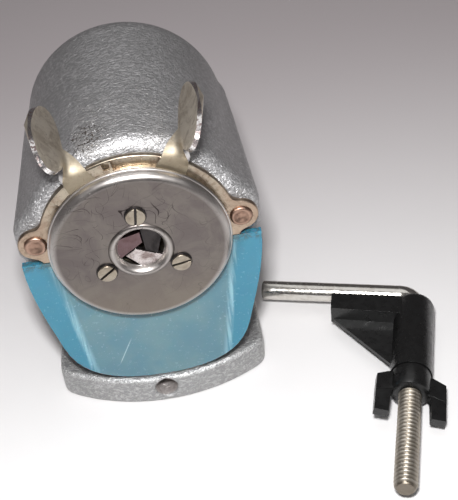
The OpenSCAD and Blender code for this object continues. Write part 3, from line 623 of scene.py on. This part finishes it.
def front_cover():
    """Pressed cover with a broad round rim, a thin flange and a rolled pencil hole."""
    face, rim = cover_low[1], cover_high[1]
    turn_r, turn_y = cover_r - 2.4, rim - 0.9  # where the rim's round is centred
    flange = [(cover_r, rim), (cover_r, rim - 0.55)]
    flange += [(cover_r - 0.12, rim - 0.7), (cover_r - 0.35, rim - 0.75)]
    outer = [(turn_r + 2.0 * math.cos(a), turn_y - (turn_y - face) * math.sin(a))
             for a in np.radians(np.linspace(0, 90, 24))]
    dish = bezier([(8.2, face), (7.6, face - 0.85), (6.6, face - 0.6), (5.85, face + 1.15)], 24)
    lip = [(5.8, face + 1.2), (5.9, face + 1.3), (6.9, face + 0.9)]
    inner = [(turn_r + 1.3 * math.cos(a), turn_y - (turn_y - 0.8 - face) * math.sin(a))
             for a in np.radians(np.linspace(90, 0, 12))]
    profile = [*flange, *outer, *dish, *lip, *inner, (cover_r - 1.1, rim)]
    lathe("pressed_cover", profile, 0, axis_z, "carriage", "cover_nickel", ("front_cover",), 192)


def cover_screws():
    """Slotted cheese-head screws, each turned its own way, on dark discs of painted shade that show in their
    slots and round their heads.
    """
    cad_head_r, head_r, seat_r = 2.6, 2.45, 2.75
    post_r = corners("cover_screws")[1][2] - axis_z - cad_head_r
    face = cover_low[1]
    for k, turn in enumerate((83, 10, 38)):
        a = math.radians(90 - 120 * k)
        x, z = post_r * math.cos(a), post_r * math.sin(a)
        # Painted shade: a dark disc behind each head, seen through its slot and round its edge
        seat = arc((x, z), seat_r, 0, 352, 46)
        plate(f"screw_seat_{k}", [seat], face - 0.3, face + 0.05, "carriage", "screw_steel", "painted_shade_steel",
              edge=0.05)
        for side, name in ((0, "a"), (180, "b")):
            half = arc((x, z), head_r, turn + side + 6.0, turn + side + 174.0, 24)
            plate(f"screw_half_{k}{name}", [half], face - 0.85, face - 0.25, "carriage", "screw_steel",
                  replaces=("cover_screws",), edge=0.16)


def guide_rods():
    """Rods with dimpled, riveted heads."""
    head, end = plate_low[1], rod_high[1]
    dimple = bezier([(0, head - 0.05), (0.9, head - 0.05), (1.4, head - 0.5), (1.9, head - 0.7)], 8)
    crown = bezier([(1.9, head - 0.7), (2.4, head - 0.85), (2.85, head - 0.6), (2.9, head)], 10)
    shaft = [(2.9, head + 0.02), (1.6, head + 0.02), (1.6, end - 0.4), (1.2, end), (0, end)]
    for side, name in ((-1, "left"), (1, "right")):
        lathe(f"rivet_rod_{name}", [*dimple, *crown, *shaft], side * rod_x, rod_z, "carriage",
              "rivet_copper", (f"guide_rod_{name}",), 48)


def ear(name, angle, twist, sheet_y, body, node):
    """A finger ear: its stem leaves the ring flat, turns a quarter and spreads into an oval pad."""
    out = np.array([math.cos(math.radians(angle)), 0, math.sin(math.radians(angle))])
    across = np.array([-out[2], 0, out[0]])
    along = np.array([0, twist, 0])
    pad_r, pad_y, half_r, half_y = 36.0, -30.2, 5.7, 12.3
    pad_lines = pad_r - half_r * np.cos(np.linspace(0.12, math.pi, 26))
    r = np.sort(np.concatenate([np.linspace(20.5, 30, 16), pad_lines]))
    t = np.sin(np.linspace(-math.pi / 2, math.pi / 2, 23))
    points = []
    for radius in r:
        turn = math.pi / 2 * smooth_step(radius, 24.5, 31.5)
        stem = 4.1 - 1.0 * smooth_step(radius, 20, 29)
        oval = half_y * math.sqrt(max(0.0, 1 - ((radius - pad_r) / half_r) ** 2))
        half = oval if radius > pad_r else (stem**4 + oval**4) ** 0.25
        middle = np.array([0, sheet_y + (pad_y - sheet_y) * smooth_step(radius, 25.5, 34), axis_z])
        line = math.cos(turn) * across + math.sin(turn) * along
        hollow = -0.9 * smooth_step(radius, 29, 36)
        for u in t:
            points.append(out * radius + line * (u * half) + middle + hollow * (1 - u * u) * twist * across)
    rows, cols = len(r), len(t)
    faces = [(i * cols + j, i * cols + j + 1, (i + 1) * cols + j + 1, (i + 1) * cols + j)
             for i in range(rows - 1) for j in range(cols - 1)]
    made = piece(name, points, faces, body, "passivated_plate", "ear_face", (node,), sharp=60)
    cleaned(made.data, 5e-5)
    made.data.materials.append(finishes["plated_edge"])
    sheet = made.modifiers.new("sheet", "SOLIDIFY")
    sheet.thickness = 1.1 * MM
    sheet.offset = 0
    sheet.material_offset_rim = 1
    soft = made.modifiers.new("soft edges", "BEVEL")
    soft.width = 0.42 * MM
    soft.segments = 3
    soft.angle_limit = math.radians(50)
    soft.harden_normals = True


def plate(name, outlines, y0, y1, body, slot, finish=None, replaces=(), edge=0.12):
    """A flat sheet between y0 and y1, from outlines round the pencil axis. Inner outlines are holes."""
    curve = bpy.data.curves.new(name, "CURVE")
    curve.dimensions = "2D"
    curve.fill_mode = "BOTH"
    for outline in outlines:
        spline = curve.splines.new("POLY")
        spline.points.add(len(outline) - 1)
        for point, (x, z) in zip(spline.points, outline):
            point.co = (x * MM, z * MM, 0, 1)
        spline.use_cyclic_u = True
    curve.extrude = ((y1 - y0) / 2 - edge) * MM
    curve.bevel_depth = edge * MM
    curve.bevel_resolution = 2
    curve.offset = -edge * MM
    flat = bpy.data.objects.new(name + " outline", curve)
    bpy.context.scene.collection.objects.link(flat)
    mesh = bpy.data.meshes.new_from_object(flat)
    bpy.data.objects.remove(flat)
    for vertex in mesh.vertices:
        x, z, depth = vertex.co
        vertex.co = (x, (y0 + y1) / 2 * MM - depth, z + axis_z * MM)
    cleaned(mesh)
    finished(name, mesh, body, slot, finish, replaces, 35)


def round_outline(distance, count=720):
    """The outline round the axis where a field of x and z from the axis is zero."""
    turn = np.radians(np.arange(count) * 360 / count)
    reach = np.linspace(10.0, 34.0, 1200)
    x, z = np.cos(turn)[:, None] * reach, np.sin(turn)[:, None] * reach
    inside = distance(x, z) < 0
    last = reach[inside.shape[1] - 1 - np.argmax(inside[:, ::-1], axis=1)]
    return np.stack([np.cos(turn) * last, np.sin(turn) * last], 1)


def lug(x, z, side):
    """Distance from a lug's outline: a bar with a round end about the rod."""
    along = np.clip(x * side, 0, rod_x)
    return np.hypot(x - side * along, z - (rod_z - axis_z)) - 4.4


def carriage_plate():
    """Plate with two lugs that blend into the round upper band."""
    def shape(x, z):
        band = np.maximum(np.hypot(x, z) - 25.1, -z - 3.4)
        disc = np.hypot(x, z) - 21
        lugs = np.minimum(lug(x, z, 1), lug(x, z, -1))
        return smooth_min(smooth_min(band, lugs, 2.5), disc, 1.0)

    holes = [arc((0, 0), 7.5, 0, 354, 60)]
    holes += [arc((side * rod_x, rod_z - axis_z), 1.62, 0, 345, 24) for side in (-1, 1)]
    plate("lug_plate", [round_outline(shape)] + holes, plate_low[1], plate_high[1], "carriage",
          "passivated_plate", replaces=("carriage_plate",), edge=0.3)


def squeeze_ring(name, shape, count, sheet_y, body):
    """A ring plate round the chuck. Count is how many points its outline has."""
    half = 0.4
    hole = arc((0, 0), 13.05, 0, 357, 120)
    plate(name, [round_outline(shape, count), hole], sheet_y - half, sheet_y + half, body, "passivated_plate")


def ears():
    """Two rings with finger ears. The left one lies in front and has a raised arc with a notch."""
    ring_r, arc_r, notch_r = 22.4, 25.6, 23.6
    left_y, right_y = -34.5, -33.6

    def left_shape(x, z):
        turn = np.degrees(np.arctan2(z, x))
        arcs = np.where((turn > 98) & (turn < 140), arc_r, ring_r)
        notch = (turn > 99.5) & (turn < 103.5)
        return np.hypot(x, z) - np.where(notch, notch_r, arcs)

    def right_shape(x, z):
        return np.hypot(x, z) - ring_r

    ear("left_finger_ear", 119.5, -1, left_y, "left_ear", "ear_ring_left")
    ear("right_finger_ear", 63, 1, right_y, "right_ear", "ear_ring_right")
    squeeze_ring("left_ring", left_shape, 1440, left_y, "left_ear")
    squeeze_ring("right_ring", right_shape, 720, right_y, "right_ear")


def coil(name, x, z, y0, y1, radius, wire, turns, body, slot, replaces):
    """A coil spring along Y between y0 and y1."""
    sides, steps = 10, int(turns * 28)
    points = []
    for i in range(steps + 1):
        a = 2 * math.pi * turns * i / steps
        y = y0 + wire + (y1 - y0 - 2 * wire) * i / steps
        for j in range(sides):
            b = 2 * math.pi * j / sides
            reach = radius + wire * math.cos(b)
            points.append((x + reach * math.cos(a), y + wire * math.sin(b), z + reach * math.sin(a)))
    faces = ring_faces(steps + 1, sides)
    faces += [tuple(range(sides)), tuple(range(steps * sides, (steps + 1) * sides))[::-1]]
    made = piece(name, points, faces, body, slot, replaces=replaces, sharp=60)
    cleaned(made.data)
    return made


def return_springs():
    """Springs round the rods, which the clips press together when the chuck is pulled out."""
    front, back = spring_low[1], spring_high[1]
    for side, name in ((-1, "left"), (1, "right")):
        spring = coil(f"return_coil_{name}", side * rod_x, rod_z, front, back, 2.1, 0.28, 14,
                      "body", "dark_steel", (f"return_spring_{name}",))
        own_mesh(spring)


# ---------------------------------------------------------------- table clamp


def clamp_rod():
    """Bent rod: a smooth leg with a rounded end, and a leg with a real helical thread."""
    bend, smooth_r, smooth_len, end_round, sides = 4.5, 2.82, 45.2, 0.8, 48
    pitch, major, minor, thread_len, chamfer = 1.27, 3.1, 2.48, 70.7, 1.1
    turn = np.linspace(0, 2 * math.pi, sides, endpoint=False)
    points = []

    def ring(centre, way, radius):
        """Adds a ring of points round a centre, from a way on the table. The radius may differ round it."""
        around = np.cos(turn)[:, None] * way + np.sin(turn)[:, None] * upwards
        points.extend(centre + np.broadcast_to(radius, sides)[:, None] * around)

    ring(rod_corner + smooth_way * smooth_len, thread_way, 0.01)
    for a in np.linspace(0, math.pi / 2, 7)[1:]:
        ring(rod_corner + smooth_way * (smooth_len - end_round * (1 - math.cos(a))), thread_way,
             smooth_r - end_round * (1 - math.sin(a)))
    for s in np.linspace(smooth_len - 2, bend, 12):
        ring(rod_corner + smooth_way * s, thread_way, smooth_r)
    centre = rod_corner + bend * (smooth_way + thread_way)
    for a in np.linspace(0, math.pi / 2, 16)[1:]:
        way = math.cos(a) * thread_way + math.sin(a) * smooth_way
        ring(centre - bend * way, way, smooth_r)

    start = bend + 3
    steps = int((thread_len - start) / pitch * 10)
    for s in np.linspace(start, thread_len, steps + 1):
        phase = (s / pitch + turn / (2 * math.pi)) % 1
        ridge = np.clip(2.6 * np.abs(phase - 0.5) - 0.12, 0, 1)
        limit = major - max(0.0, s - thread_len + chamfer) * 0.75
        radius = np.minimum(minor + (major - minor) * ridge, limit)
        radius = np.where(s < start + 1, np.minimum(radius, smooth_r), radius)
        ring(rod_corner + thread_way * s, smooth_way, radius)
    ring(rod_corner + thread_way * thread_len, smooth_way, 0.01)

    made = piece("threaded_rod", points, ring_faces(len(points) // sides, sides), "clamp", "bright_steel",
                 replaces=("clamp_rod",), sharp=32)
    made.data.materials.append(finishes["thread_steel"])
    for face in made.data.polygons:
        away = np.array(face.center) / MM - rod_corner
        face.material_index = int(away @ thread_way > start - 1)
    cleaned(made.data, 1e-5)


# ---------------------------------------------------------------- crank


def crank_knob():
    """Turned black knob, slimmer towards the arm, with a sunk end for its pin's head."""
    front, end = knob_low[1], knob_high[1]
    z = (knob_low[2] + knob_high[2]) / 2
    r, hole_r, sunk_r, crown_r = knob_high[0], 2.1, 3.6, 4
    flank = bezier([(4.9, front + 0.4), (5.2, front + 6), (r, front + 9), (r, front + 16)], 20)
    crown = arc((r - crown_r, front + 19.2), crown_r, 0, 88, 12)
    sunk = [(sunk_r + 0.1, end), (sunk_r, end - 0.3), (sunk_r, front + 22.4), (hole_r, front + 22.4)]
    profile = [(hole_r, front), (4.5, front), *flank, *crown, *sunk]
    lathe("turned_knob", profile, 0, z, "knob", "black_plastic", ("crank_knob",), 72, sharp=50)


# ---------------------------------------------------------------- stage


def floor():
    """Pale matt table top, with painted shade that turns it greyer towards the back."""
    half = 3.0
    table_corners = [(-half, -half, 0), (half, -half, 0), (half, half, 0), (-half, half, 0)]
    mesh = bpy.data.meshes.new("table")
    mesh.from_pydata(table_corners, [], [(0, 1, 2, 3)])
    f = Finish("table top", Roughness=0.5)
    near = f.mix(f.noise(0.05, 3.0), (0.80, 0.79, 0.79), (0.83, 0.82, 0.82))
    # Painted shade: greyer and a little pinker towards the back, where less light falls
    f.feed(Base_Color=f.mix(f.span(f.y, -60, 170), near, (0.60, 0.55, 0.56)))
    mesh.materials.append(f.material)
    made = bpy.data.objects.new("table", mesh)
    bpy.context.scene.collection.objects.link(made)


def lamp(name, place, target, size, power):
    """A square soft light that faces its target, in metres and watts."""
    data = bpy.data.lights.new(name, "AREA")
    data.size = size
    data.energy = power
    made = bpy.data.objects.new(name, data)
    made.location = place
    made.rotation_mode = "QUATERNION"
    made.rotation_quaternion = (Vector(target) - Vector(place)).to_track_quat("-Z", "Y")
    bpy.context.scene.collection.objects.link(made)


def lights():
    """A small flash above the lens, softened by a window, a ceiling and a dim room."""
    world = bpy.data.worlds.new("studio")
    world.use_nodes = True
    background = world.node_tree.nodes["Background"]
    background.inputs["Color"].default_value = (0.60, 0.56, 0.57, 1)
    background.inputs["Strength"].default_value = 0.16
    bpy.context.scene.world = world
    lamp("flash", (0.005, -0.222, 0.262), (0.02, -0.03, 0.01), 0.026, 1.3)
    lamp("window", (0.1, -0.4, 0.45), (0, 0, 0.03), 0.5, 0.2)
    lamp("ceiling", (0.05, 0.1, 0.7), (0, 0, 0.03), 0.5, 0.7)


def camera():
    """Camera at the photograph's angle. Its azimuth is 0 along +Y, and its roll is about its own axis."""
    azimuth, elevation, roll = (math.radians(a) for a in (-2.9, 39.9, -6.77))
    target, distance = Vector((0.02227, -0.02245, 0.040)), 0.30587
    level = math.cos(elevation)
    back = Vector((math.sin(azimuth) * level, -math.cos(azimuth) * level, math.sin(elevation)))
    data = bpy.data.cameras.new("camera")
    data.lens = 82.38
    data.sensor_width = 36
    data.clip_start = 0.01
    made = bpy.data.objects.new("camera", data)
    made.location = target + back * distance
    made.rotation_mode = "QUATERNION"
    made.rotation_quaternion = (-back).to_track_quat("-Z", "Y") @ Quaternion((0, 0, 1), roll)
    bpy.context.scene.collection.objects.link(made)
    bpy.context.scene.camera = made


camera()
lights()
floor()
bpy.context.scene.view_settings.view_transform = "Standard"

cast_body()
cast_foot()
front_cover()
cover_screws()
guide_rods()
carriage_plate()
ears()
return_springs()
clamp_rod()
crank_knob()

# CAD nodes that only need softer edges: body, slot, edge width in millimetres, and finish if not the slot's
soft_nodes = {
    "shavings_drawer": ("drawer", "drawer_plastic", 0.35),
    "base_screws": ("body", "dark_steel", 0.2),
    "rear_bush": ("body", "bush_brass", 0.25),
    "drawer_clip": ("body", "screw_steel", 0.1),
    "chuck_hub": ("carriage", "passivated_plate", 0.15),
    # jaw_1 is painted near black for the shade it lies in
    "jaw_1": ("jaw_1", "jaw_steel", 0.12, "painted_shade_steel"),
    "jaw_2": ("jaw_2", "jaw_steel", 0.12, "jaw_dull"),
    "jaw_3": ("jaw_3", "jaw_steel", 0.12),
    "cutter_cage": ("crank", "passivated_plate", 0.25),
    "crank_arm": ("crank", "bright_steel", 0.4),
    "crank_nut": ("crank", "bright_steel", 0.3),
    "clamp_jaw": ("clamp_jaw", "black_plastic", 0.4),
    "wing_nut": ("wing_nut", "black_plastic", 0.45),
}
for node, look in soft_nodes.items():
    softened(node, *look)

for part in frame["record"]["subparts"]:
    cad = frame["nodes"][part["node"]]
    cad.data.materials.clear()
    cad.data.materials.append(finishes[part["material_slot"]])
